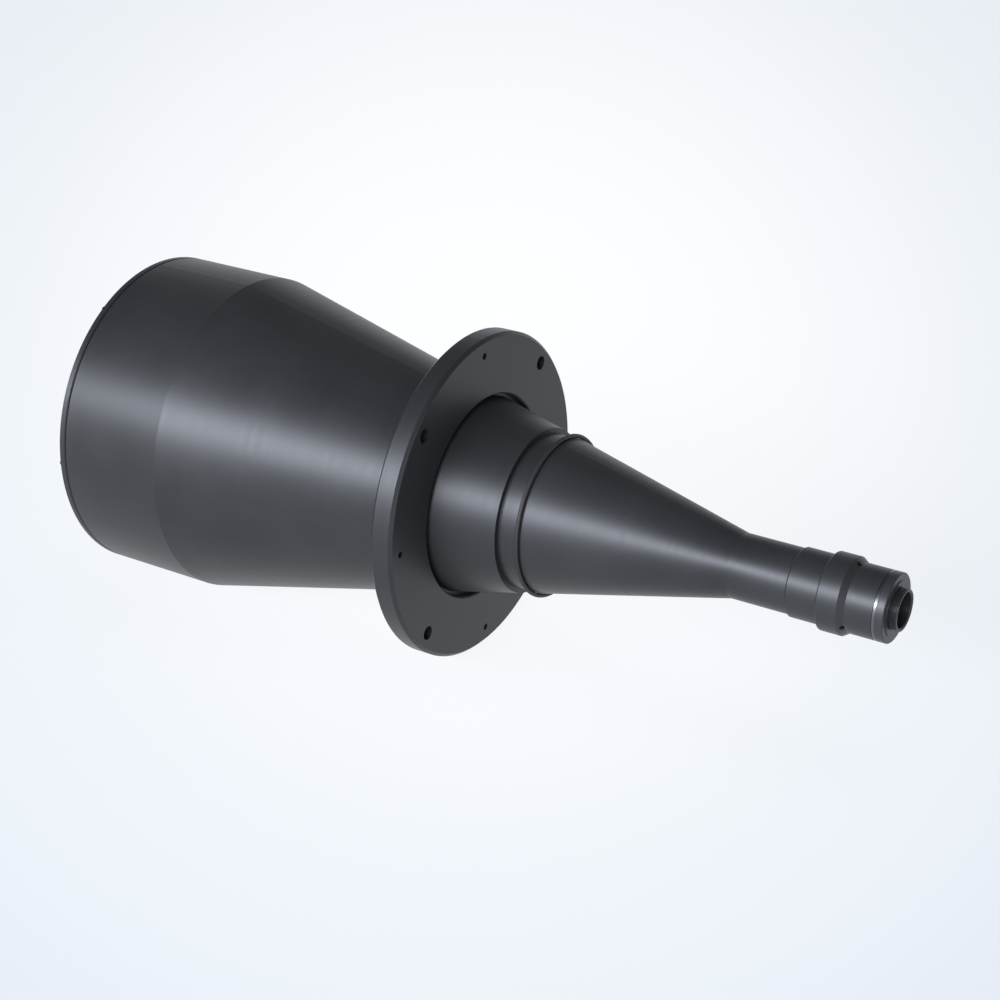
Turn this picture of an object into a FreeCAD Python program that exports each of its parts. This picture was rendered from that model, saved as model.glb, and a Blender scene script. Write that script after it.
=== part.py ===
"""Telecentric lens with a mounting flange, in millimetres.

The optical axis is X. The origin is on it, at the rear face of the flange. +X points to
the camera mount, -X to the front glass, and +Z is up.
"""
import FreeCAD, Part
import math
import os
from collections import namedtuple

V = FreeCAD.Vector
AXIS_POINT = V(0, 0, 0)
AXIS = V(1, 0, 0)
FULL_TURN = 360.0
HEX_SIDES = 6

# Arc: the outline bends through the point via on its way to the point end
Arc = namedtuple("Arc", "via end")

# Running and seating gaps, measured on the radius
SEAT_GAP = 0.05
TURN_GAP = 0.05
CEMENT_GAP = 0.05
PART_GAP = 0.3

# Front housing: barrel and front cone
BARREL_R = 104.0
BARREL_LENGTH = 74.0
CONE_LENGTH = 164.0
CONE_REAR_R = 65.3
HOUSING_WALL = 4.0
HOUSING_EDGE = 1.2
GLASS_BORE_WALL = 5.05
GLASS_SHOULDER_DEPTH = 3.95
SPIGOT_LENGTH = 11.0
SPIGOT_STEP = 1.56
SPIGOT_WALL = 3.5

# Front glass group
FRONT_LENS_RECESS = 2.0
FRONT_LENS_EDGE = 12.0
FRONT_LENS_CURVE_1 = 1200.0
FRONT_LENS_CURVE_2 = 700.0
SPACER_LENGTH = 20.0
SPACER_WALL = 3.5
CROWN_EDGE = 8.0
CROWN_CURVE_1 = 600.0
CROWN_CURVE_2 = 450.0
FLINT_CENTRE = 9.0
FLINT_CURVE_2 = 1500.0

# Front retaining ring, its screws and its seal
RING_THICKNESS = 5.0
RING_LIP_REACH = 1.8
RING_LIP_LAND = 2.4
RING_EDGE = 0.6
RING_SCREW_COUNT = 6
RING_SCREW_INSET = 2.7
RING_SCREW_FIRST_ANGLE = 30.0
RING_SCREW_R = 1.25
RING_SCREW_HEAD_R = 2.3
RING_SCREW_LENGTH = 9.0
RING_SCREW_SINK = 0.15
RING_SCREW_RIM = 0.25
RING_SCREW_SOCKET_ACROSS = 1.5
RING_SCREW_SOCKET_DEPTH = 1.2
SEAL_CORD_R = 1.3

# Mounting flange
FLANGE_R = 104.0
FLANGE_THICKNESS = 15.0
FLANGE_EDGE = 2.0
FLANGE_FILLET_R = 5.0
FLANGE_BORE_EDGE = 0.8
HOLE_INSET = 10.5
HOLE_COUNT = 4
BOLT_HOLE_R = 4.5
BOLT_HOLE_FIRST_ANGLE = 45.0
TAPPED_HOLE_R = 2.1
TAPPED_HOLE_FIRST_ANGLE = 0.0

# Baffle between the two cones
BAFFLE_THICKNESS = 1.5
BAFFLE_REACH = 9.15

# Rear cone
REAR_CONE_STEP = 2.25
REAR_CONE_RECESS = 6.0
REAR_CONE_ANGLE = 13.33
REAR_CONE_WALL = 3.5
REAR_CONE_BLEND = 1.5
SEAL_SEAT_START = 45.35
SEAL_SEAT_LENGTH = 15.65
SEAL_SEAT_DEPTH = 3.35
SEAL_RING_CORD_R = 1.31
SEAL_RING_OFFSET = 13.95

# Tube with the aperture stop
TUBE_R = 19.8
TUBE_LENGTH = 37.15
TUBE_SPIGOT_STEP = 2.5
TUBE_SPIGOT_LENGTH = 8.0
TUBE_SPIGOT_WALL = 2.2
TUBE_LIP_REACH = 1.7
TUBE_LIP_DEPTH = 19.0
TUBE_LIP_LENGTH = 2.0
STOP_THICKNESS = 1.2
STOP_HOLE_R = 2.5
STOP_BEVEL = 0.7
STOP_RING_LENGTH = 3.0
STOP_RING_WALL = 2.7

# Rear sleeve: tube, collar and neck
SLEEVE_STEP = 1.1
SLEEVE_LENGTH = 53.1
SLEEVE_EDGE = 0.9
COLLAR_RISE = 2.6
COLLAR_START = 19.7
COLLAR_LENGTH = 13.2
COLLAR_ROUND = 1.2
COLLAR_BEVEL_LENGTH = 3.9
NECK_STEP = 0.1
NECK_WALL = 3.75
SOCKET_SLACK = 0.5
REAR_LIP_REACH = 1.8
REAR_LIP_LENGTH = 2.3
REAR_GLASS_BORE_STEP = 2.95
REAR_GLASS_BORE_LENGTH = 16.0

# Rear glass group
REAR_LENS_FRONT_EDGE = 5.0
REAR_LENS_FRONT_CURVE = 60.0
REAR_SPACER_LENGTH = 4.5
REAR_SPACER_WALL = 1.5
REAR_LENS_BACK_EDGE = 3.5
REAR_LENS_BACK_CURVE = 55.0
REAR_RING_LENGTH = 2.6
REAR_RING_WALL = 2.5

# Slots in the inner retaining rings for a pin spanner
SPANNER_SLOT_WIDTH = 1.6
SPANNER_SLOT_DEPTH = 1.2

# Camera mount and its shim
MOUNT_DISC_THICKNESS = 5.5
MOUNT_EDGE = 0.5
MOUNT_SPIGOT_LENGTH = 24.0
MOUNT_SPIGOT_WALL = 2.8
MOUNT_THREAD_R = 12.7
MOUNT_THREAD_LENGTH = 4.5
MOUNT_THREAD_EDGE = 0.5
MOUNT_THREAD_WALL = 2.1
MOUNT_BORE_FLARE = 0.8
MOUNT_STEP_INSET = 4.4
MOUNT_STEP_LENGTH = 0.5
SHIM_THICKNESS = 1.5

# Set screws at the foot of the collar
SET_SCREW_COUNT = 3
SET_SCREW_FIRST_ANGLE = 0.0
SET_SCREW_INSET = 0.5
SET_SCREW_R = 2.0
SET_SCREW_SINK = 0.1
SET_SCREW_POINT_R = 0.8
SET_SCREW_SOCKET_ACROSS = 2.0
SET_SCREW_SOCKET_DEPTH = 1.6
GROOVE_DEPTH = 1.3


def depth_of(curve, r):
    """How far a spherical face of this radius of curvature bulges over the height r."""
    return curve - math.sqrt(curve * curve - r * r)


def seat_depth(curve, edge_r, seat_r):
    """How far a lens face stands past its own edge where a ring of radius seat_r meets it."""
    return depth_of(curve, edge_r) - depth_of(curve, seat_r) + SEAT_GAP


def cone_radius(x):
    return CONE_REAR_R + CONE_SLOPE * (FLANGE_FRONT_X - x)


def rear_cone_radius(x):
    return REAR_CONE_START_R - REAR_SLOPE * (x - REAR_CONE_X)


# Places along the axis, worked out from the sizes above
FLANGE_FRONT_X = -FLANGE_THICKNESS
CONE_FRONT_X = FLANGE_FRONT_X - CONE_LENGTH
HOUSING_FRONT_X = CONE_FRONT_X - BARREL_LENGTH
CONE_SLOPE = (BARREL_R - CONE_REAR_R) / CONE_LENGTH
CONE_ANGLE = math.atan(CONE_SLOPE)
RING_FRONT_X = HOUSING_FRONT_X - RING_THICKNESS
FILLET_CENTRE_X = FLANGE_FRONT_X - FLANGE_FILLET_R
FILLET_CENTRE_R = cone_radius(FILLET_CENTRE_X) + FLANGE_FILLET_R / math.cos(CONE_ANGLE)
HUB_FRONT_X = FILLET_CENTRE_X - FLANGE_FILLET_R * math.sin(CONE_ANGLE)
FLANGE_BORE_R = cone_radius(HUB_FRONT_X) - SPIGOT_STEP
SPIGOT_R = FLANGE_BORE_R - SEAT_GAP
SPIGOT_END_X = HUB_FRONT_X + SPIGOT_LENGTH
BAFFLE_END_X = SPIGOT_END_X + BAFFLE_THICKNESS
BAFFLE_OPENING_R = SPIGOT_R - BAFFLE_REACH
HOLE_CIRCLE_R = FLANGE_R - HOLE_INSET

GLASS_BORE_R = BARREL_R - GLASS_BORE_WALL
GLASS_R = GLASS_BORE_R - SEAT_GAP
GLASS_SHOULDER_R = GLASS_BORE_R - GLASS_SHOULDER_DEPTH
RING_LIP_R = GLASS_R - RING_LIP_REACH
RING_SCREW_CIRCLE_R = BARREL_R - RING_SCREW_INSET
FRONT_LENS_X = HOUSING_FRONT_X + FRONT_LENS_RECESS
FRONT_LENS_END_X = FRONT_LENS_X + FRONT_LENS_EDGE
SPACER_R = GLASS_R - SPACER_WALL
SPACER_X = FRONT_LENS_END_X + seat_depth(FRONT_LENS_CURVE_2, GLASS_R, SPACER_R)
SPACER_END_X = SPACER_X + SPACER_LENGTH
CROWN_X = SPACER_END_X + seat_depth(CROWN_CURVE_1, GLASS_R, SPACER_R)
CROWN_END_X = CROWN_X + CROWN_EDGE
FLINT_X = CROWN_END_X + CEMENT_GAP
FLINT_CENTRE_X = FLINT_X + depth_of(CROWN_CURVE_2, GLASS_R)
FLINT_END_X = FLINT_CENTRE_X + FLINT_CENTRE - depth_of(FLINT_CURVE_2, GLASS_R)
SHOULDER_X = FLINT_END_X + seat_depth(FLINT_CURVE_2, GLASS_R, GLASS_SHOULDER_R)
SEAL_R = GLASS_R - SEAL_CORD_R
SEAL_X = FRONT_LENS_X - seat_depth(FRONT_LENS_CURVE_1, GLASS_R, SEAL_R) - SEAL_CORD_R

REAR_CONE_X = -REAR_CONE_RECESS
REAR_CONE_START_R = SPIGOT_R - REAR_CONE_STEP
REAR_SLOPE = math.tan(math.radians(REAR_CONE_ANGLE))
REAR_BLEND_LENGTH = REAR_CONE_BLEND * math.sin(math.radians(REAR_CONE_ANGLE))
REAR_BLEND_R = TUBE_R + REAR_CONE_BLEND * (1.0 - math.cos(math.radians(REAR_CONE_ANGLE)))
REAR_BLEND_X = REAR_CONE_X + (REAR_CONE_START_R - REAR_BLEND_R) / REAR_SLOPE
REAR_CONE_END_X = REAR_BLEND_X + REAR_BLEND_LENGTH
SEAL_SEAT_X = REAR_CONE_X + SEAL_SEAT_START
SEAL_SEAT_END_X = SEAL_SEAT_X + SEAL_SEAT_LENGTH
SEAL_SEAT_R = rear_cone_radius(SEAL_SEAT_X) - SEAL_SEAT_DEPTH
SEAL_RING_X = SEAL_SEAT_X + SEAL_RING_OFFSET

TUBE_SPIGOT_R = TUBE_R - TUBE_SPIGOT_STEP
TUBE_BORE_R = TUBE_SPIGOT_R - TUBE_SPIGOT_WALL
TUBE_LIP_R = TUBE_BORE_R - TUBE_LIP_REACH
STOP_RING_BORE_R = TUBE_BORE_R - STOP_RING_WALL
TUBE_END_X = REAR_CONE_END_X + TUBE_LENGTH
TUBE_SPIGOT_END_X = TUBE_END_X + TUBE_SPIGOT_LENGTH
STOP_SEAT_X = TUBE_SPIGOT_END_X - TUBE_LIP_DEPTH
STOP_END_X = STOP_SEAT_X + STOP_THICKNESS

SLEEVE_R = TUBE_R + SLEEVE_STEP
COLLAR_R = SLEEVE_R + COLLAR_RISE
NECK_R = SLEEVE_R - NECK_STEP
NECK_BORE_R = NECK_R - NECK_WALL
REAR_GLASS_BORE_R = NECK_BORE_R - REAR_GLASS_BORE_STEP
REAR_LIP_R = REAR_GLASS_BORE_R - REAR_LIP_REACH
SLEEVE_END_X = TUBE_END_X + SLEEVE_LENGTH
COLLAR_X = TUBE_END_X + COLLAR_START
COLLAR_END_X = COLLAR_X + COLLAR_LENGTH
COLLAR_FOOT_X = COLLAR_END_X + COLLAR_BEVEL_LENGTH
SOCKET_END_X = TUBE_SPIGOT_END_X + SOCKET_SLACK
REAR_SEAT_X = SOCKET_END_X + REAR_LIP_LENGTH
REAR_BORE_END_X = REAR_SEAT_X + REAR_GLASS_BORE_LENGTH
SET_SCREW_X = COLLAR_FOOT_X - SET_SCREW_INSET
SET_SCREW_TOP_R = NECK_R - SET_SCREW_SINK

REAR_GLASS_R = REAR_GLASS_BORE_R - SEAT_GAP
REAR_SPACER_R = REAR_GLASS_R - REAR_SPACER_WALL
REAR_RING_BORE_R = REAR_GLASS_BORE_R - REAR_RING_WALL
REAR_FRONT_X = REAR_SEAT_X + seat_depth(REAR_LENS_FRONT_CURVE, REAR_GLASS_R, REAR_LIP_R)
REAR_FRONT_END_X = REAR_FRONT_X + REAR_LENS_FRONT_EDGE
REAR_SPACER_X = REAR_FRONT_END_X + seat_depth(REAR_LENS_FRONT_CURVE, REAR_GLASS_R, REAR_SPACER_R)
REAR_SPACER_END_X = REAR_SPACER_X + REAR_SPACER_LENGTH
REAR_BACK_X = REAR_SPACER_END_X + seat_depth(REAR_LENS_BACK_CURVE, REAR_GLASS_R, REAR_SPACER_R)
REAR_BACK_END_X = REAR_BACK_X + REAR_LENS_BACK_EDGE
REAR_RING_X = REAR_BACK_END_X + seat_depth(REAR_LENS_BACK_CURVE, REAR_GLASS_R, REAR_RING_BORE_R)

SHIM_X = SLEEVE_END_X + PART_GAP
DISC_X = SHIM_X + SHIM_THICKNESS
MOUNT_FACE_X = DISC_X + MOUNT_DISC_THICKNESS
MOUNT_END_X = MOUNT_FACE_X + MOUNT_THREAD_LENGTH
MOUNT_SPIGOT_R = NECK_BORE_R - TURN_GAP
MOUNT_SPIGOT_BORE_R = MOUNT_SPIGOT_R - MOUNT_SPIGOT_WALL
MOUNT_SPIGOT_X = SHIM_X - MOUNT_SPIGOT_LENGTH
MOUNT_BORE_R = MOUNT_THREAD_R - MOUNT_THREAD_WALL
MOUNT_STEP_R = NECK_R - MOUNT_STEP_INSET
GROOVE_FLOOR_R = MOUNT_SPIGOT_R - GROOVE_DEPTH


def place(x, r, angle=0.0):
    """The point at x along the axis and r from it, turned by angle from the top."""
    turn = math.radians(angle)
    return V(x, r * math.sin(turn), r * math.cos(turn))


def radial(angle):
    """The direction away from the axis, turned by angle from the top."""
    return place(0.0, 1.0, angle)


def turned(outline):
    """A solid of revolution from a closed outline of (x, radius) points and arcs."""
    edges = []
    first = outline[0]
    here = first
    for step in list(outline[1:]) + [first]:
        end = step.end if isinstance(step, Arc) else step
        if isinstance(step, Arc):
            arc = Part.Arc(place(*here), place(*step.via), place(*end))
            edges.append(arc.toShape())
        elif end != here:
            edges.append(Part.LineSegment(place(*here), place(*end)).toShape())
        here = end
    face = Part.Face(Part.Wire(edges))
    return face.revolve(AXIS_POINT, AXIS, FULL_TURN)


def rims(solid, spots):
    """The circular edges round the axis that pass through the (x, radius) spots."""
    found = []
    for edge in solid.Edges:
        if not isinstance(edge.Curve, Part.Circle):
            continue
        centre = edge.Curve.Center
        if abs(centre.y) + abs(centre.z) > SEAT_GAP:
            continue
        for x, r in spots:
            if abs(centre.x - x) < SEAT_GAP and abs(edge.Curve.Radius - r) < SEAT_GAP / 2:
                found.append(edge)
    return found


def bevelled(solid, spots, size):
    return solid.makeChamfer(size, rims(solid, spots))


def rounded(solid, spots, size):
    return solid.makeFillet(size, rims(solid, spots))


def angles(count, first):
    return [first + FULL_TURN * index / count for index in range(count)]


def rod(start, direction, radius, length):
    return Part.makeCylinder(radius, length, start, direction)


def socket(start, direction, across, depth):
    """A hexagonal hole, across its flats, going from start along direction."""
    corner_r = across / math.sqrt(3.0)
    side = V(0, 0, 1).cross(direction)
    side = side.normalize() if side.Length > SEAT_GAP else V(0, 1, 0)
    other = direction.cross(side)
    corners = []
    for angle in angles(HEX_SIDES, 0.0):
        turn = math.radians(angle)
        corners.append(start + side * (corner_r * math.cos(turn)) + other * (corner_r * math.sin(turn)))
    face = Part.Face(Part.makePolygon(corners + corners[:1]))
    return face.extrude(direction * depth)


def face_arc(edge_x, r, curve, side):
    """Half of a spherical lens face, from its edge in to the axis; side is the way it bulges."""
    middle = r / 2.0
    vertex_x = edge_x + side * depth_of(curve, r)
    middle_x = vertex_x - side * depth_of(curve, middle)
    return Arc((middle_x, middle), (vertex_x, 0.0))


def flange_fillet():
    """The hollow arc that eases the front cone into the front face of the flange."""
    half = (math.pi / 2.0 + CONE_ANGLE) / 2.0
    middle_x = FILLET_CENTRE_X + FLANGE_FILLET_R * math.cos(half)
    middle_r = FILLET_CENTRE_R - FLANGE_FILLET_R * math.sin(half)
    return Arc((middle_x, middle_r), (FLANGE_FRONT_X, FILLET_CENTRE_R))


def rear_blend():
    """The arc that eases the rear cone into the straight tube."""
    half = math.radians(REAR_CONE_ANGLE) / 2.0
    middle_x = REAR_CONE_END_X - REAR_CONE_BLEND * math.sin(half)
    middle_r = TUBE_R + REAR_CONE_BLEND * (1.0 - math.cos(half))
    return Arc((middle_x, middle_r), (REAR_CONE_END_X, TUBE_R))


def front_housing():
    """Barrel and front cone in one piece, open along its middle for the light."""
    inner_cone_x = CONE_FRONT_X + (BARREL_R - HOUSING_WALL - GLASS_SHOULDER_R) / CONE_SLOPE
    inner_end_r = SPIGOT_R - SPIGOT_WALL
    inner_end_x = FLANGE_FRONT_X - (inner_end_r + HOUSING_WALL - CONE_REAR_R) / CONE_SLOPE
    body = turned([
        (HOUSING_FRONT_X, GLASS_BORE_R),
        (HOUSING_FRONT_X, BARREL_R),
        (CONE_FRONT_X, BARREL_R),
        (HUB_FRONT_X, cone_radius(HUB_FRONT_X)),
        (HUB_FRONT_X, SPIGOT_R),
        (SPIGOT_END_X, SPIGOT_R),
        (SPIGOT_END_X, inner_end_r),
        (inner_end_x, inner_end_r),
        (inner_cone_x, GLASS_SHOULDER_R),
        (SHOULDER_X, GLASS_SHOULDER_R),
        (SHOULDER_X, GLASS_BORE_R),
    ])
    body = bevelled(body, [(HOUSING_FRONT_X, BARREL_R)], HOUSING_EDGE)
    depth = RING_SCREW_LENGTH - RING_THICKNESS + PART_GAP
    for angle in angles(RING_SCREW_COUNT, RING_SCREW_FIRST_ANGLE):
        start = place(HOUSING_FRONT_X, RING_SCREW_CIRCLE_R, angle)
        body = body.cut(rod(start, AXIS, RING_SCREW_R + SEAT_GAP, depth))
    return body


def front_retaining_ring():
    """Flat ring with a lip over the front glass, held by six countersunk screws."""
    ring = turned([
        (RING_FRONT_X, RING_LIP_R),
        (RING_FRONT_X, BARREL_R),
        (HOUSING_FRONT_X, BARREL_R),
        (HOUSING_FRONT_X, GLASS_BORE_R),
        (RING_FRONT_X + RING_LIP_LAND, RING_LIP_R),
    ])
    ring = bevelled(ring, [(RING_FRONT_X, BARREL_R)], HOUSING_EDGE)
    ring = bevelled(ring, [(RING_FRONT_X, RING_LIP_R), (HOUSING_FRONT_X, BARREL_R)], RING_EDGE)
    for angle in angles(RING_SCREW_COUNT, RING_SCREW_FIRST_ANGLE):
        ring = ring.cut(ring_screw_body(angle, SEAT_GAP, RING_FRONT_X - PART_GAP))
    return ring


def ring_screw_body(angle, gap, top_x):
    """Outline of one countersunk screw, larger all round by gap; the same tool cuts its hole."""
    head_x = RING_FRONT_X + RING_SCREW_SINK
    rim_x = head_x + RING_SCREW_RIM + gap
    foot_x = rim_x + RING_SCREW_HEAD_R - RING_SCREW_R
    end_x = head_x + RING_SCREW_LENGTH
    head = rod(place(top_x, RING_SCREW_CIRCLE_R, angle), AXIS, RING_SCREW_HEAD_R + gap, rim_x - top_x)
    taper = Part.makeCone(RING_SCREW_HEAD_R + gap, RING_SCREW_R + gap, foot_x - rim_x,
                          place(rim_x, RING_SCREW_CIRCLE_R, angle), AXIS)
    shank = rod(place(foot_x, RING_SCREW_CIRCLE_R, angle), AXIS, RING_SCREW_R + gap, end_x - foot_x)
    return head.fuse([taper, shank]).removeSplitter()


def front_ring_screws():
    """Six countersunk screws with hexagonal sockets."""
    screws = []
    for angle in angles(RING_SCREW_COUNT, RING_SCREW_FIRST_ANGLE):
        head_x = RING_FRONT_X + RING_SCREW_SINK
        screw = ring_screw_body(angle, 0.0, head_x)
        start = place(head_x, RING_SCREW_CIRCLE_R, angle)
        screws.append(screw.cut(socket(start, AXIS, RING_SCREW_SOCKET_ACROSS, RING_SCREW_SOCKET_DEPTH)))
    return Part.makeCompound(screws)


def ring_of_cord(x, centre_r, cord_r):
    return Part.makeTorus(centre_r, cord_r, V(x, 0, 0), AXIS)


def front_seal():
    """Round rubber ring between the lip of the front ring and the front glass."""
    return ring_of_cord(SEAL_X, SEAL_R, SEAL_CORD_R)


def glass(edge_x, rear_edge_x, r, front_curve, front_side, rear_curve, rear_side):
    """A lens between two spherical faces; each side is the way that face bulges along X."""
    front = face_arc(edge_x, r, front_curve, front_side)
    rear = face_arc(rear_edge_x, r, rear_curve, rear_side)
    return turned([
        (edge_x, r),
        front,
        rear.end,
        Arc(rear.via, (rear_edge_x, r)),
    ])


def front_lens():
    return glass(FRONT_LENS_X, FRONT_LENS_END_X, GLASS_R,
                 FRONT_LENS_CURVE_1, -1, FRONT_LENS_CURVE_2, 1)


def front_spacer():
    return turned([
        (SPACER_X, SPACER_R),
        (SPACER_X, GLASS_R),
        (SPACER_END_X, GLASS_R),
        (SPACER_END_X, SPACER_R),
    ])


def doublet_crown():
    return glass(CROWN_X, CROWN_END_X, GLASS_R, CROWN_CURVE_1, -1, CROWN_CURVE_2, 1)


def doublet_flint():
    return glass(FLINT_X, FLINT_END_X, GLASS_R,
                 CROWN_CURVE_2, 1, FLINT_CURVE_2, 1)


def mounting_flange():
    """Round flange whose front face runs out into the front cone in a hollow curve."""
    flange = turned([
        (HUB_FRONT_X, FLANGE_BORE_R),
        (HUB_FRONT_X, cone_radius(HUB_FRONT_X)),
        flange_fillet(),
        (FLANGE_FRONT_X, FLANGE_R),
        (0.0, FLANGE_R),
        (0.0, FLANGE_BORE_R),
    ])
    flange = bevelled(flange, [(FLANGE_FRONT_X, FLANGE_R), (0.0, FLANGE_R)], FLANGE_EDGE)
    flange = bevelled(flange, [(0.0, FLANGE_BORE_R)], FLANGE_BORE_EDGE)
    hole_kinds = [
        (BOLT_HOLE_R, BOLT_HOLE_FIRST_ANGLE),
        (TAPPED_HOLE_R, TAPPED_HOLE_FIRST_ANGLE),
    ]
    for radius, first in hole_kinds:
        for angle in angles(HOLE_COUNT, first):
            start = place(FLANGE_FRONT_X, HOLE_CIRCLE_R, angle)
            flange = flange.cut(rod(start, AXIS, radius, FLANGE_THICKNESS))
    return flange


def glare_baffle():
    """Black ring clamped between the ends of the two cones, against stray light."""
    return turned([
        (SPIGOT_END_X, BAFFLE_OPENING_R),
        (SPIGOT_END_X, SPIGOT_R),
        (BAFFLE_END_X, SPIGOT_R),
        (BAFFLE_END_X, BAFFLE_OPENING_R + BAFFLE_THICKNESS),
    ])


def rear_cone():
    """Long cone with a screwed-in end in the flange and a round seat for the seal ring."""
    inner_start_r = REAR_CONE_START_R - REAR_CONE_WALL
    socket_r = TUBE_SPIGOT_R + SEAT_GAP
    socket_x = REAR_CONE_END_X - TUBE_SPIGOT_LENGTH - SOCKET_SLACK
    inner_end_r = rear_cone_radius(socket_x) - REAR_CONE_WALL
    clear_r = min(inner_end_r, socket_r - REAR_CONE_WALL / 2.0)
    return turned([
        (BAFFLE_END_X, inner_start_r),
        (BAFFLE_END_X, SPIGOT_R),
        (REAR_CONE_X, SPIGOT_R),
        (REAR_CONE_X, REAR_CONE_START_R),
        (SEAL_SEAT_X, rear_cone_radius(SEAL_SEAT_X)),
        (SEAL_SEAT_X, SEAL_SEAT_R),
        (SEAL_SEAT_END_X, SEAL_SEAT_R),
        (SEAL_SEAT_END_X, rear_cone_radius(SEAL_SEAT_END_X)),
        (REAR_BLEND_X, REAR_BLEND_R),
        rear_blend(),
        (REAR_CONE_END_X, socket_r),
        (socket_x, socket_r),
        (socket_x, clear_r),
        (SEAL_SEAT_X, SEAL_SEAT_R - REAR_CONE_WALL),
    ])


def cone_seal_ring():
    return ring_of_cord(SEAL_RING_X, SEAL_SEAT_R + SEAT_GAP + SEAL_RING_CORD_R, SEAL_RING_CORD_R)


def stop_tube():
    """Straight tube between the rear cone and the sleeve; it carries the aperture stop."""
    spigot_x = REAR_CONE_END_X - TUBE_SPIGOT_LENGTH
    lip_x = STOP_SEAT_X - TUBE_LIP_LENGTH
    return turned([
        (spigot_x, TUBE_BORE_R),
        (spigot_x, TUBE_SPIGOT_R),
        (REAR_CONE_END_X, TUBE_SPIGOT_R),
        (REAR_CONE_END_X, TUBE_R),
        (TUBE_END_X, TUBE_R),
        (TUBE_END_X, TUBE_SPIGOT_R),
        (TUBE_SPIGOT_END_X, TUBE_SPIGOT_R),
        (TUBE_SPIGOT_END_X, TUBE_BORE_R),
        (STOP_SEAT_X, TUBE_BORE_R),
        (STOP_SEAT_X, TUBE_LIP_R),
        (lip_x, TUBE_LIP_R),
        (lip_x, TUBE_BORE_R),
    ])


def aperture_stop():
    """Disc with the small hole that only lets rays through that run along the axis in front."""
    return turned([
        (STOP_SEAT_X, STOP_HOLE_R + STOP_BEVEL),
        (STOP_SEAT_X, TUBE_BORE_R - SEAT_GAP),
        (STOP_END_X, TUBE_BORE_R - SEAT_GAP),
        (STOP_END_X, STOP_HOLE_R),
        (STOP_SEAT_X + STOP_BEVEL, STOP_HOLE_R),
    ])


def slotted_ring(start_x, length, outer_r, bore_r):
    """Threaded retaining ring with two slots for a pin spanner in its rear face."""
    ring = turned([
        (start_x, bore_r),
        (start_x, outer_r),
        (start_x + length, outer_r),
        (start_x + length, bore_r),
    ])
    slot = Part.makeBox(SPANNER_SLOT_DEPTH, 2.0 * outer_r, SPANNER_SLOT_WIDTH,
                        V(start_x + length - SPANNER_SLOT_DEPTH, -outer_r, -SPANNER_SLOT_WIDTH / 2.0))
    return ring.cut(slot)


def stop_retaining_ring():
    return slotted_ring(STOP_END_X, STOP_RING_LENGTH, TUBE_BORE_R - SEAT_GAP, STOP_RING_BORE_R)


def set_screw_angles():
    return angles(SET_SCREW_COUNT, SET_SCREW_FIRST_ANGLE)


def rear_sleeve():
    """Sleeve, collar and neck in one piece; the camera mount turns in the neck."""
    socket_r = TUBE_SPIGOT_R + SEAT_GAP
    sleeve = turned([
        (TUBE_END_X, socket_r),
        (TUBE_END_X, SLEEVE_R),
        (COLLAR_X, SLEEVE_R),
        (COLLAR_X, COLLAR_R),
        (COLLAR_END_X, COLLAR_R),
        (COLLAR_FOOT_X, NECK_R),
        (SLEEVE_END_X, NECK_R),
        (SLEEVE_END_X, NECK_BORE_R),
        (REAR_BORE_END_X, NECK_BORE_R),
        (REAR_BORE_END_X, REAR_GLASS_BORE_R),
        (REAR_SEAT_X, REAR_GLASS_BORE_R),
        (REAR_SEAT_X, REAR_LIP_R),
        (SOCKET_END_X, REAR_LIP_R),
        (SOCKET_END_X, socket_r),
    ])
    sleeve = bevelled(sleeve, [(TUBE_END_X, SLEEVE_R)], SLEEVE_EDGE)
    sleeve = rounded(sleeve, [(COLLAR_X, COLLAR_R)], COLLAR_ROUND)
    for angle in set_screw_angles():
        start = place(SET_SCREW_X, NECK_BORE_R - PART_GAP, angle)
        depth = COLLAR_R - NECK_BORE_R + 2.0 * PART_GAP
        sleeve = sleeve.cut(rod(start, radial(angle), SET_SCREW_R + SEAT_GAP, depth))
    return sleeve


def mount_set_screws():
    """Three set screws whose points reach into the groove of the camera mount."""
    screws = []
    point_r = GROOVE_FLOOR_R + 2.0 * PART_GAP
    taper = SET_SCREW_R - SET_SCREW_POINT_R
    body_r = point_r + taper
    for angle in set_screw_angles():
        outward = radial(angle)
        start = place(SET_SCREW_X, point_r, angle)
        point = Part.makeCone(SET_SCREW_POINT_R, SET_SCREW_R, taper, start, outward)
        start = place(SET_SCREW_X, body_r, angle)
        body = rod(start, outward, SET_SCREW_R, SET_SCREW_TOP_R - body_r)
        screw = point.fuse(body).removeSplitter()
        top = place(SET_SCREW_X, SET_SCREW_TOP_R, angle)
        hole = socket(top, outward * -1.0, SET_SCREW_SOCKET_ACROSS, SET_SCREW_SOCKET_DEPTH)
        screws.append(screw.cut(hole))
    return Part.makeCompound(screws)


def rear_lens_front():
    return glass(REAR_FRONT_X, REAR_FRONT_END_X, REAR_GLASS_R,
                 REAR_LENS_FRONT_CURVE, -1, REAR_LENS_FRONT_CURVE, 1)


def rear_spacer():
    return turned([
        (REAR_SPACER_X, REAR_SPACER_R),
        (REAR_SPACER_X, REAR_GLASS_R),
        (REAR_SPACER_END_X, REAR_GLASS_R),
        (REAR_SPACER_END_X, REAR_SPACER_R),
    ])


def rear_lens_back():
    return glass(REAR_BACK_X, REAR_BACK_END_X, REAR_GLASS_R,
                 REAR_LENS_BACK_CURVE, -1, REAR_LENS_BACK_CURVE, 1)


def rear_retaining_ring():
    return slotted_ring(REAR_RING_X, REAR_RING_LENGTH, REAR_GLASS_R, REAR_RING_BORE_R)


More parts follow.
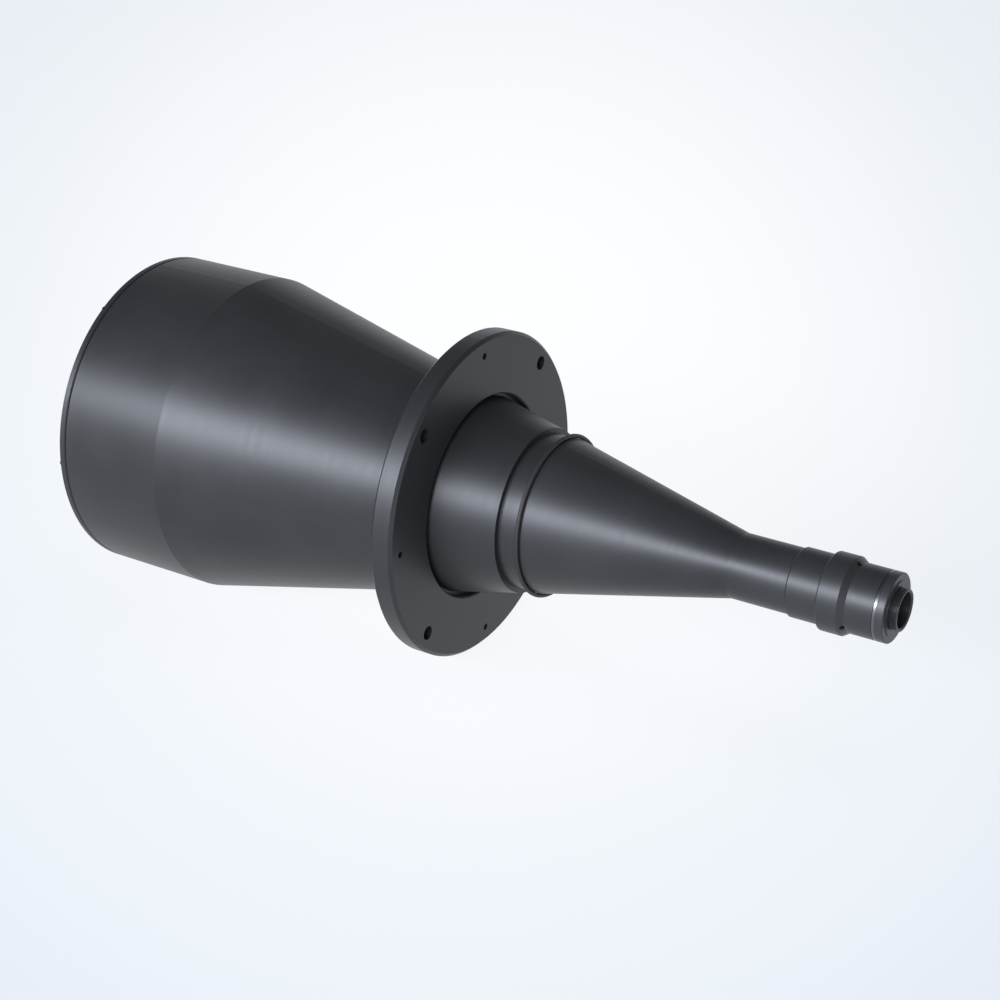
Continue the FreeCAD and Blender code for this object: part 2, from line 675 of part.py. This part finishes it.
def camera_mount():
    """Adapter with the camera thread behind its disc and a spigot that turns in the neck."""
    floor_half = SET_SCREW_POINT_R + PART_GAP
    groove_half = floor_half + GROOVE_DEPTH
    mount = turned([
        (MOUNT_SPIGOT_X, MOUNT_SPIGOT_BORE_R),
        (MOUNT_SPIGOT_X, MOUNT_SPIGOT_R),
        (SET_SCREW_X - groove_half, MOUNT_SPIGOT_R),
        (SET_SCREW_X - floor_half, GROOVE_FLOOR_R),
        (SET_SCREW_X + floor_half, GROOVE_FLOOR_R),
        (SET_SCREW_X + groove_half, MOUNT_SPIGOT_R),
        (DISC_X, MOUNT_SPIGOT_R),
        (DISC_X, NECK_R),
        (MOUNT_FACE_X - MOUNT_STEP_LENGTH, NECK_R),
        (MOUNT_FACE_X - MOUNT_STEP_LENGTH, MOUNT_STEP_R),
        (MOUNT_FACE_X, MOUNT_STEP_R),
        (MOUNT_FACE_X, MOUNT_THREAD_R),
        (MOUNT_END_X, MOUNT_THREAD_R),
        (MOUNT_END_X, MOUNT_BORE_R + MOUNT_BORE_FLARE),
        (MOUNT_END_X - MOUNT_BORE_FLARE, MOUNT_BORE_R),
        (DISC_X, MOUNT_BORE_R),
        (DISC_X, MOUNT_SPIGOT_BORE_R),
    ])
    mount = bevelled(mount, [(MOUNT_END_X, MOUNT_THREAD_R)], MOUNT_THREAD_EDGE)
    return bevelled(mount, [(MOUNT_FACE_X - MOUNT_STEP_LENGTH, NECK_R)], MOUNT_EDGE)


def mount_shim():
    """Thin ring that sets the distance from the lens to the camera."""
    return turned([
        (SHIM_X, MOUNT_SPIGOT_R + SEAT_GAP),
        (SHIM_X, NECK_R),
        (DISC_X, NECK_R),
        (DISC_X, MOUNT_SPIGOT_R + SEAT_GAP),
    ])


NODES = [
    front_retaining_ring,
    front_ring_screws,
    front_seal,
    front_lens,
    front_spacer,
    doublet_crown,
    doublet_flint,
    front_housing,
    mounting_flange,
    glare_baffle,
    rear_cone,
    cone_seal_ring,
    stop_tube,
    aperture_stop,
    stop_retaining_ring,
    rear_sleeve,
    mount_set_screws,
    rear_lens_front,
    rear_spacer,
    rear_lens_back,
    rear_retaining_ring,
    camera_mount,
    mount_shim,
]


def main():
    os.makedirs("parts", exist_ok=True)
    for make in NODES:
        shape = make()
        shape.exportStep(f"parts/{make.__name__}.step")
        box = shape.BoundBox
        print(f"{make.__name__:24s} solids {len(shape.Solids)} valid {shape.isValid()}"
              f" volume {shape.Volume:11.1f} x {box.XMin:8.2f} to {box.XMax:8.2f} r {box.ZMax:7.2f}")


main()
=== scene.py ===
"""Looks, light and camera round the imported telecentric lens.

Metres, in the frame of the CAD part: the optical axis is X, +X points to the camera mount,
-X to the front glass, and +Z is up. Only the sizes of the camera mount, its thread and the
cemented glass are in millimetres, as in the CAD source.
"""

import math

import bmesh
import bpy
from mathutils import Euler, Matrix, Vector

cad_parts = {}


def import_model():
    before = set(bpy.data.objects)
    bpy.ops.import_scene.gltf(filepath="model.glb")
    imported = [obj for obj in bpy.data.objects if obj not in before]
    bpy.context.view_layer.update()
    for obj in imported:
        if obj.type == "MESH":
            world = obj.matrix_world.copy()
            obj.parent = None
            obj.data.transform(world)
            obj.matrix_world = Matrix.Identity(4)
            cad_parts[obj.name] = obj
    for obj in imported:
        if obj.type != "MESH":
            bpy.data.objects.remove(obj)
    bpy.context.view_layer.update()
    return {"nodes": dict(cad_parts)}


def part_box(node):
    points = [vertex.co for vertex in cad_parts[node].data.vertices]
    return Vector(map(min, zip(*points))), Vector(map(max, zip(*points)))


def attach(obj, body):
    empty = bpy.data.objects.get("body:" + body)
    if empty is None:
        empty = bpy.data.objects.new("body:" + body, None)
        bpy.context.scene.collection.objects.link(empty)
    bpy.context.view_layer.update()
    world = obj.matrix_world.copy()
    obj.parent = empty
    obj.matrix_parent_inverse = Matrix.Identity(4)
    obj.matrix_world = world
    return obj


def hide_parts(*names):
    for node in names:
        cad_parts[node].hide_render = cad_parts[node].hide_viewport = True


MM = 0.001

# Camera, as fitted to the circles of the photo
CAMERA_PLACE = Vector((0.6328, -0.9995, 0.5767))
CAMERA_TILT = math.radians(63.8965)
CAMERA_HEADING = math.radians(31.891)
CAMERA_TURN = Euler((CAMERA_TILT, 0.0, CAMERA_HEADING))
CAMERA_LENS = 76.11
CAMERA_SENSOR = 36.0
CAMERA_NEAR = 0.01

# Camera mount: places along the axis are measured from its face, where the camera sits
MOUNT_SIDES = 240
SPIGOT_LENGTH = 25.5
SPIGOT_R = 17.0
SPIGOT_BORE_R = 14.2
GROOVE_OFFSET = 6.9
GROOVE_FLOOR_R = 15.7
GROOVE_FLOOR_HALF = 1.1
GROOVE_HALF = 2.4
DISC_LENGTH = 5.0
DISC_R = 20.8
DISC_EDGE = 0.5
STEP_LENGTH = 0.5
STEP_R = 16.4
BOSS_LENGTH = 4.5
BORE_R = 10.6
BORE_FLARE = 0.8
EDGE = 0.15
STEP_START = -STEP_LENGTH
DISC_START = STEP_START - DISC_LENGTH
SPIGOT_START = DISC_START - SPIGOT_LENGTH
GROOVE_MIDDLE = SPIGOT_START + GROOVE_OFFSET

# Camera thread: 1 inch across, 32 turns to the inch
INCH = 25.4
THREAD_R = INCH / 2.0
THREAD_PITCH = INCH / 32.0
THREAD_DEPTH = 0.48
THREAD_CREST = 0.16
THREAD_EDGE = 0.5
RELIEF_LENGTH = 0.7
RELIEF_R = 12.15
ROWS_PER_TURN = 14
SHARP_ANGLE = math.radians(32.0)

# Metals: linear colour and gloss
METALS = {
    "black_anodised": dict(colour=(0.040, 0.041, 0.045), roughness=0.41, specular=0.42, metallic=0.65),
    "mount_anodised": dict(colour=(0.048, 0.049, 0.053), roughness=0.41, specular=0.42, metallic=0.65),
    "matt_black": dict(colour=(0.010, 0.010, 0.011), roughness=0.80, specular=0.25),
    "screw_steel": dict(colour=(0.10, 0.10, 0.105), roughness=0.34, metallic=1.0, marks=0.05),
    "shim_steel": dict(colour=(0.14, 0.14, 0.15), roughness=0.30, metallic=1.0),
}

# Marks of the lathe and grain of the coating: scales in one metre, depths in metres
LATHE_SLOPE = 1.7
LATHE_FINE = 5200.0
LATHE_BROAD = 420.0
LATHE_DETAIL = 2.0
LATHE_DEPTH = 0.00004
LATHE_STRENGTH = 0.12
PORE_SCALE = 2600.0
PORE_DEPTH = 0.00003
PORE_STRENGTH = 0.06
PATCH_SCALE = 14.0
GRAIN_DETAIL = 3.0
GLOSS_VARY = 0.025
COLOUR_VARY = 0.12
NOISE_LOW = 0.22
NOISE_HIGH = 0.78

# Rubber of the seals
RUBBER_COLOUR = (0.016, 0.016, 0.017)
RUBBER_ROUGHNESS = 0.55
RUBBER_VARY = 0.06
RUBBER_SPECULAR = 0.4
RUBBER_SCALE = 1800.0
RUBBER_DEPTH = 0.00005
RUBBER_STRENGTH = 0.12

# Glass: the cemented faces lie on one sphere, half a layer of cement behind the crown's pole
GLASS_IOR = 1.52
GLASS_COLOUR = (0.97, 0.985, 0.98)
COATING_TINT = (0.20, 0.19, 0.32)
CEMENT_CURVE = 450.0
CEMENT_LAYER = 0.05
CEMENT_REACH = 0.15

# What each CAD node is made of
FINISH = {
    "front_retaining_ring": "black_anodised",
    "front_ring_screws": "screw_steel",
    "front_seal": "seal_rubber",
    "front_lens": "coated_glass",
    "front_spacer": "matt_black",
    "doublet_crown": "coated_glass_doublet",
    "doublet_flint": "coated_glass_doublet",
    "front_housing": "black_anodised",
    "mounting_flange": "black_anodised",
    "glare_baffle": "matt_black",
    "rear_cone": "black_anodised",
    "cone_seal_ring": "seal_rubber",
    "stop_tube": "black_anodised",
    "aperture_stop": "matt_black",
    "stop_retaining_ring": "matt_black",
    "rear_sleeve": "black_anodised",
    "mount_set_screws": "screw_steel",
    "rear_lens_front": "coated_glass",
    "rear_spacer": "matt_black",
    "rear_lens_back": "coated_glass",
    "rear_retaining_ring": "matt_black",
    "camera_mount": "mount_anodised",
    "mount_shim": "shim_steel",
}

# Lights: a long strip in front for the highlight along the lens, and a soft light above
LIGHT_TARGET = Vector((0.0, 0.0, 0.0))
STRIP_PLACE = Vector((-0.4, -2.3, 1.05))
STRIP_SIZE = (3.4, 0.62)
STRIP_POWER = 138.0
STRIP_COLOUR = (0.90, 0.94, 1.0)
TOP_PLACE = Vector((0.2, 0.2, 2.6))
TOP_SIZE = (1.6, 1.6)
TOP_POWER = 16.0
TOP_COLOUR = (1.0, 1.0, 1.0)

# World: colours by the height of the direction, from the horizon at 0 to overhead at 1
SKY_STOPS = [
    (0.14, (0.90, 0.93, 0.96)),
    (0.55, (0.16, 0.17, 0.19)),
]

# Floor: its painted glow, a pool of light brightest at a centre, fades with the distance from it, both
# in picture widths
FLOOR_R = 9.0
FLOOR_SIDES = 96
FLOOR_COLOUR = (0.075, 0.075, 0.075)
NEAREST_DEPTH = 0.2
PAINTED_GLOW_CENTRE = (0.0, 0.15)
PAINTED_GLOW_REACH = 2.6
PAINTED_GLOW_STOPS = [
    (0.00, (0.945, 0.950, 0.952)),
    (0.30, (0.887, 0.906, 0.928)),
    (0.50, (0.790, 0.822, 0.866)),
    (0.70, (0.757, 0.800, 0.856)),
    (0.85, (0.672, 0.718, 0.795)),
    (2.60, (0.900, 0.930, 0.960)),
]


def shader(name):
    """A new material, its node tree and the Principled shader in it."""
    material = bpy.data.materials.new(name)
    material.use_nodes = True
    tree = material.node_tree
    return material, tree, tree.nodes["Principled BSDF"]


def node(tree, kind, **values):
    """A node of this kind with its properties set by keyword."""
    made = tree.nodes.new(kind)
    for name, value in values.items():
        setattr(made, name, value)
    return made


def math_node(tree, operation, first, second=None):
    """The result of one operation on sockets or numbers."""
    made = node(tree, "ShaderNodeMath", operation=operation)
    for socket, value in zip(made.inputs, (first, second)):
        if value is None:
            continue
        if isinstance(value, (int, float)):
            socket.default_value = value
        else:
            tree.links.new(value, socket)
    return made.outputs[0]


def ramp(tree, value, blend, stops):
    """Colours along a value from 0 to 1, from stops that are each a place and a colour."""
    made = node(tree, "ShaderNodeValToRGB")
    band = made.color_ramp
    band.interpolation = blend
    while len(band.elements) < len(stops):
        band.elements.new(0.5)
    for element, (place, colour) in zip(band.elements, stops):
        element.position = place
        element.color = (*colour, 1.0)
    tree.links.new(value, made.inputs[0])
    return made.outputs["Color"]


def noise(tree, scale, detail, vector=None, along=None):
    """Noise in space, or along one value where along is given."""
    made = node(tree, "ShaderNodeTexNoise", noise_dimensions="1D" if along else "3D")
    made.inputs["Scale"].default_value = scale
    made.inputs["Detail"].default_value = detail
    if along:
        tree.links.new(along, made.inputs["W"])
    if vector:
        tree.links.new(vector, made.inputs["Vector"])
    return made.outputs[0]


def spread(tree, value, low, high):
    """Maps noise from the middle of its range to low and high."""
    made = node(tree, "ShaderNodeMapRange", interpolation_type="SMOOTHSTEP")
    made.inputs["From Min"].default_value = NOISE_LOW
    made.inputs["From Max"].default_value = NOISE_HIGH
    made.inputs["To Min"].default_value = low
    made.inputs["To Max"].default_value = high
    tree.links.new(value, made.inputs["Value"])
    return made.outputs[0]


def bump(tree, height, strength, depth, under=None):
    """The normal of a surface with this height, on top of the bump under it where one is given."""
    made = node(tree, "ShaderNodeBump")
    made.inputs["Strength"].default_value = strength
    made.inputs["Distance"].default_value = depth
    tree.links.new(height, made.inputs["Height"])
    if under:
        tree.links.new(under, made.inputs["Normal"])
    return made.outputs[0]


def lathe_coordinate(tree, place):
    """A value that changes along the axis and away from it, for marks left by a lathe."""
    split = node(tree, "ShaderNodeSeparateXYZ")
    tree.links.new(place, split.inputs[0])
    square_y = math_node(tree, "MULTIPLY", split.outputs["Y"], split.outputs["Y"])
    square_z = math_node(tree, "MULTIPLY", split.outputs["Z"], split.outputs["Z"])
    radius = math_node(tree, "SQRT", math_node(tree, "ADD", square_y, square_z))
    return math_node(tree, "ADD", split.outputs["X"], math_node(tree, "MULTIPLY", radius, LATHE_SLOPE))


def turned_metal(name, colour, roughness, specular=0.5, metallic=0.0, marks=LATHE_STRENGTH):
    """Turned metal with fine lathe marks, the grain of its coating and slightly uneven gloss."""
    material, tree, principled = shader(name)
    place = node(tree, "ShaderNodeTexCoord").outputs["Object"]
    along = lathe_coordinate(tree, place)
    fine = noise(tree, LATHE_FINE, LATHE_DETAIL, along=along)
    broad = noise(tree, LATHE_BROAD, LATHE_DETAIL, along=along)
    pores = noise(tree, PORE_SCALE, GRAIN_DETAIL, vector=place)
    patches = noise(tree, PATCH_SCALE, GRAIN_DETAIL, vector=place)

    tint = node(tree, "ShaderNodeMix", data_type="RGBA")
    tint.inputs["A"].default_value = (*[part * (1.0 - COLOUR_VARY) for part in colour], 1.0)
    tint.inputs["B"].default_value = (*[part * (1.0 + COLOUR_VARY) for part in colour], 1.0)
    tree.links.new(spread(tree, patches, 0.0, 1.0), tint.inputs["Factor"])
    tree.links.new(tint.outputs["Result"], principled.inputs["Base Color"])

    uneven = spread(tree, patches, roughness - GLOSS_VARY, roughness + GLOSS_VARY)
    ringed = spread(tree, broad, -GLOSS_VARY / 2.0, GLOSS_VARY / 2.0)
    tree.links.new(math_node(tree, "ADD", uneven, ringed), principled.inputs["Roughness"])
    principled.inputs["Metallic"].default_value = metallic
    principled.inputs["Specular IOR Level"].default_value = specular

    turned = bump(tree, math_node(tree, "ADD", fine, broad), marks, LATHE_DEPTH)
    coated = bump(tree, pores, PORE_STRENGTH, PORE_DEPTH, under=turned)
    tree.links.new(coated, principled.inputs["Normal"])
    return material


def rubber(name):
    """Black rubber with a fine grain."""
    material, tree, principled = shader(name)
    place = node(tree, "ShaderNodeTexCoord").outputs["Object"]
    grain = noise(tree, RUBBER_SCALE, GRAIN_DETAIL, vector=place)
    gloss = spread(tree, grain, RUBBER_ROUGHNESS - RUBBER_VARY, RUBBER_ROUGHNESS + RUBBER_VARY)
    tree.links.new(bump(tree, grain, RUBBER_STRENGTH, RUBBER_DEPTH), principled.inputs["Normal"])
    tree.links.new(gloss, principled.inputs["Roughness"])
    principled.inputs["Base Color"].default_value = (*RUBBER_COLOUR, 1.0)
    principled.inputs["Specular IOR Level"].default_value = RUBBER_SPECULAR
    return material


def on_cement(tree):
    """One on the doublet's cemented faces and zero on the rest of its glass."""
    pole_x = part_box("doublet_crown")[1].x + CEMENT_LAYER / 2.0 * MM
    place = node(tree, "ShaderNodeTexCoord").outputs["Object"]
    span = node(tree, "ShaderNodeVectorMath", operation="DISTANCE")
    tree.links.new(place, span.inputs[0])
    span.inputs[1].default_value = (pole_x - CEMENT_CURVE * MM, 0.0, 0.0)
    off = math_node(tree, "SUBTRACT", span.outputs["Value"], CEMENT_CURVE * MM)
    return math_node(tree, "LESS_THAN", math_node(tree, "ABSOLUTE", off), CEMENT_REACH * MM)


def coated_glass(name, cemented=False):
    """Clear glass with a coating that mirrors little; cement hides the faces inside the doublet."""
    material, tree, principled = shader(name)
    principled.inputs["Base Color"].default_value = (*GLASS_COLOUR, 1.0)
    principled.inputs["Roughness"].default_value = 0.0
    principled.inputs["IOR"].default_value = GLASS_IOR
    principled.inputs["Transmission Weight"].default_value = 1.0
    principled.inputs["Specular Tint"].default_value = (*COATING_TINT, 1.0)
    if cemented:
        index = math_node(tree, "MULTIPLY", on_cement(tree), 1.0 - GLASS_IOR)
        tree.links.new(math_node(tree, "ADD", index, GLASS_IOR), principled.inputs["IOR"])
    return material


def make_materials():
    """Every material of the lens, by its name."""
    made = {name: turned_metal(name, **values) for name, values in METALS.items()}
    made["seal_rubber"] = rubber("seal_rubber")
    made["coated_glass"] = coated_glass("coated_glass")
    made["coated_glass_doublet"] = coated_glass("coated_glass_doublet", cemented=True)
    return made


def dress(nodes, materials):
    """Gives each CAD node the material of what it is made of."""
    for name, finish in FINISH.items():
        for slot in nodes[name].material_slots:
            slot.material = materials[finish]


def thread_radius(x, angle):
    """Radius of the camera thread at x from the mount's face, for this angle round the axis."""
    turns = x / THREAD_PITCH - angle / (2.0 * math.pi)
    from_crest = abs(turns - math.floor(turns) - 0.5) * 2.0
    rise = min(1.0, max(0.0, (from_crest - THREAD_CREST) / (1.0 - 2.0 * THREAD_CREST)))
    edge = max(0.0, x - (BOSS_LENGTH - THREAD_EDGE))
    return min(THREAD_R - THREAD_DEPTH * rise, THREAD_R - edge)


def mount_outline():
    """The camera mount's outline as (x, radius) points; None stands for the thread's radius."""
    thread_length = BOSS_LENGTH - RELIEF_LENGTH
    rows = round(thread_length / THREAD_PITCH * ROWS_PER_TURN)
    step = thread_length / rows
    outline = [
        (SPIGOT_START, SPIGOT_BORE_R + EDGE),
        (SPIGOT_START, SPIGOT_R - EDGE),
        (SPIGOT_START + EDGE, SPIGOT_R),
        (GROOVE_MIDDLE - GROOVE_HALF, SPIGOT_R),
        (GROOVE_MIDDLE - GROOVE_FLOOR_HALF, GROOVE_FLOOR_R),
        (GROOVE_MIDDLE + GROOVE_FLOOR_HALF, GROOVE_FLOOR_R),
        (GROOVE_MIDDLE + GROOVE_HALF, SPIGOT_R),
        (DISC_START, SPIGOT_R),
        (DISC_START, DISC_R - EDGE),
        (DISC_START + EDGE, DISC_R),
        (STEP_START - DISC_EDGE, DISC_R),
        (STEP_START, DISC_R - DISC_EDGE),
        (STEP_START, STEP_R),
        (-EDGE, STEP_R),
        (0.0, STEP_R - EDGE),
        (0.0, RELIEF_R),
        (RELIEF_LENGTH - EDGE, RELIEF_R),
    ]
    outline += [(RELIEF_LENGTH + step * row, None) for row in range(rows + 1)]
    return outline + [
        (BOSS_LENGTH, BORE_R + BORE_FLARE),
        (BOSS_LENGTH - BORE_FLARE, BORE_R),
        (DISC_START, BORE_R),
        (DISC_START, SPIGOT_BORE_R),
        (SPIGOT_START + EDGE, SPIGOT_BORE_R),
    ]


def mount_form():
    """The mount's outline turned round the axis, with its far end where the CAD mount's is."""
    face_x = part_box("camera_mount")[1].x - BOSS_LENGTH * MM
    outline = mount_outline()
    form = bmesh.new()
    rings = []
    for side in range(MOUNT_SIDES):
        angle = 2.0 * math.pi * side / MOUNT_SIDES
        ring = []
        for x, radius in outline:
            r = thread_radius(x, angle) if radius is None else radius
            point = (face_x + x * MM, r * math.sin(angle) * MM, r * math.cos(angle) * MM)
            ring.append(form.verts.new(point))
        rings.append(ring)
    for side, ring in enumerate(rings):
        other = rings[(side + 1) % MOUNT_SIDES]
        for spot in range(len(outline)):
            after = (spot + 1) % len(outline)
            form.faces.new((ring[spot], ring[after], other[after], other[spot]))
    bmesh.ops.recalc_face_normals(form, faces=form.faces)
    for face in form.faces:
        face.smooth = True
    for edge in form.edges:
        edge.smooth = edge.calc_face_angle(0.0) < SHARP_ANGLE
    return form


def threaded_mount(material):
    """The camera mount with its real thread; it stands for the plain CAD piece."""
    mesh = bpy.data.meshes.new("camera_mount_threaded")
    form = mount_form()
    form.to_mesh(mesh)
    form.free()
    mesh.materials.append(material)
    made = bpy.data.objects.new("camera_mount_threaded", mesh)
    bpy.context.scene.collection.objects.link(made)
    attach(made, "turning_mount")
    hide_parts("camera_mount")


def camera():
    """The photo's point of view."""
    data = bpy.data.cameras.new("camera")
    data.lens = CAMERA_LENS
    data.sensor_width = CAMERA_SENSOR
    data.clip_start = CAMERA_NEAR
    made = bpy.data.objects.new("camera", data)
    made.location = CAMERA_PLACE
    made.rotation_euler = CAMERA_TURN
    bpy.context.scene.collection.objects.link(made)
    bpy.context.scene.camera = made


def picture_distance(tree):
    """How far a point of the floor lies from the middle of the glow, in picture widths."""
    turn = CAMERA_TURN.to_matrix()
    right, up, forward = turn.col[0], turn.col[1], -turn.col[2]
    place = node(tree, "ShaderNodeNewGeometry").outputs["Position"]
    offset = node(tree, "ShaderNodeVectorMath", operation="SUBTRACT")
    tree.links.new(place, offset.inputs[0])
    offset.inputs[1].default_value = CAMERA_PLACE

    def along(direction):
        made = node(tree, "ShaderNodeVectorMath", operation="DOT_PRODUCT")
        tree.links.new(offset.outputs[0], made.inputs[0])
        made.inputs[1].default_value = direction
        return made.outputs["Value"]

    depth = math_node(tree, "MAXIMUM", along(forward), NEAREST_DEPTH)
    zoom = CAMERA_LENS / CAMERA_SENSOR
    parts = []
    for direction, middle in zip((right, up), PAINTED_GLOW_CENTRE):
        across = math_node(tree, "MULTIPLY", math_node(tree, "DIVIDE", along(direction), depth), zoom)
        apart = math_node(tree, "SUBTRACT", across, middle)
        parts.append(math_node(tree, "MULTIPLY", apart, apart))
    return math_node(tree, "SQRT", math_node(tree, "ADD", *parts))


def painted_floor_light(tree):
    """Painted light on the floor: white at the middle of the picture, fading to pale blue further out.
    """
    share = math_node(tree, "DIVIDE", picture_distance(tree), PAINTED_GLOW_REACH)
    stops = [(place / PAINTED_GLOW_REACH, colour) for place, colour in PAINTED_GLOW_STOPS]
    return ramp(tree, share, "B_SPLINE", stops)


def floor(height):
    """A round floor that glows with a painted pool of light in pale blue and white, and takes a soft
    shadow.
    """
    bpy.ops.mesh.primitive_circle_add(vertices=FLOOR_SIDES, radius=FLOOR_R, fill_type="NGON",
                                      location=(0.0, 0.0, height))
    made = bpy.context.object
    made.name = "floor"
    material, tree, principled = shader("floor")
    tree.nodes.remove(principled)
    # The emission paints a pool of light on the floor, brightest at the middle of the picture
    light = node(tree, "ShaderNodeEmission")
    tree.links.new(painted_floor_light(tree), light.inputs["Color"])
    paper = node(tree, "ShaderNodeBsdfDiffuse")
    paper.inputs["Color"].default_value = (*FLOOR_COLOUR, 1.0)
    both = node(tree, "ShaderNodeAddShader")
    tree.links.new(light.outputs[0], both.inputs[0])
    tree.links.new(paper.outputs[0], both.inputs[1])
    tree.links.new(both.outputs[0], tree.nodes["Material Output"].inputs["Surface"])
    material.cycles.emission_sampling = "NONE"
    made.data.materials.append(material)


def world():
    """Bright near the horizon and darker overhead, so that upward walls stay dark."""
    made = bpy.data.worlds.new("world")
    bpy.context.scene.world = made
    made.use_nodes = True
    tree = made.node_tree
    split = node(tree, "ShaderNodeSeparateXYZ")
    tree.links.new(node(tree, "ShaderNodeTexCoord").outputs["Generated"], split.inputs[0])
    sky = ramp(tree, split.outputs["Z"], "EASE", SKY_STOPS)
    tree.links.new(sky, tree.nodes["Background"].inputs["Color"])


def softbox(name, place, size, power, colour, glossy=True):
    """A rectangular light turned to the lens; neither the camera nor the glass sees it."""
    data = bpy.data.lights.new(name, "AREA")
    data.color = colour
    data.shape = "RECTANGLE"
    data.size, data.size_y = size
    data.energy = power
    made = bpy.data.objects.new(name, data)
    made.location = place
    made.rotation_euler = (LIGHT_TARGET - place).to_track_quat("-Z", "Y").to_euler()
    made.visible_camera = False
    made.visible_glossy = glossy
    made.visible_transmission = False
    bpy.context.scene.collection.objects.link(made)


def lights():
    """The strip, which gives the highlight, and the top light, which shows in no mirror."""
    softbox("strip", STRIP_PLACE, STRIP_SIZE, STRIP_POWER, STRIP_COLOUR)
    softbox("top", TOP_PLACE, TOP_SIZE, TOP_POWER, TOP_COLOUR, glossy=False)


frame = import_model()

materials = make_materials()
dress(frame["nodes"], materials)
threaded_mount(materials["mount_anodised"])
camera()
floor(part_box("front_housing")[0].z)
world()
lights()
bpy.context.scene.view_settings.view_transform = "Standard"
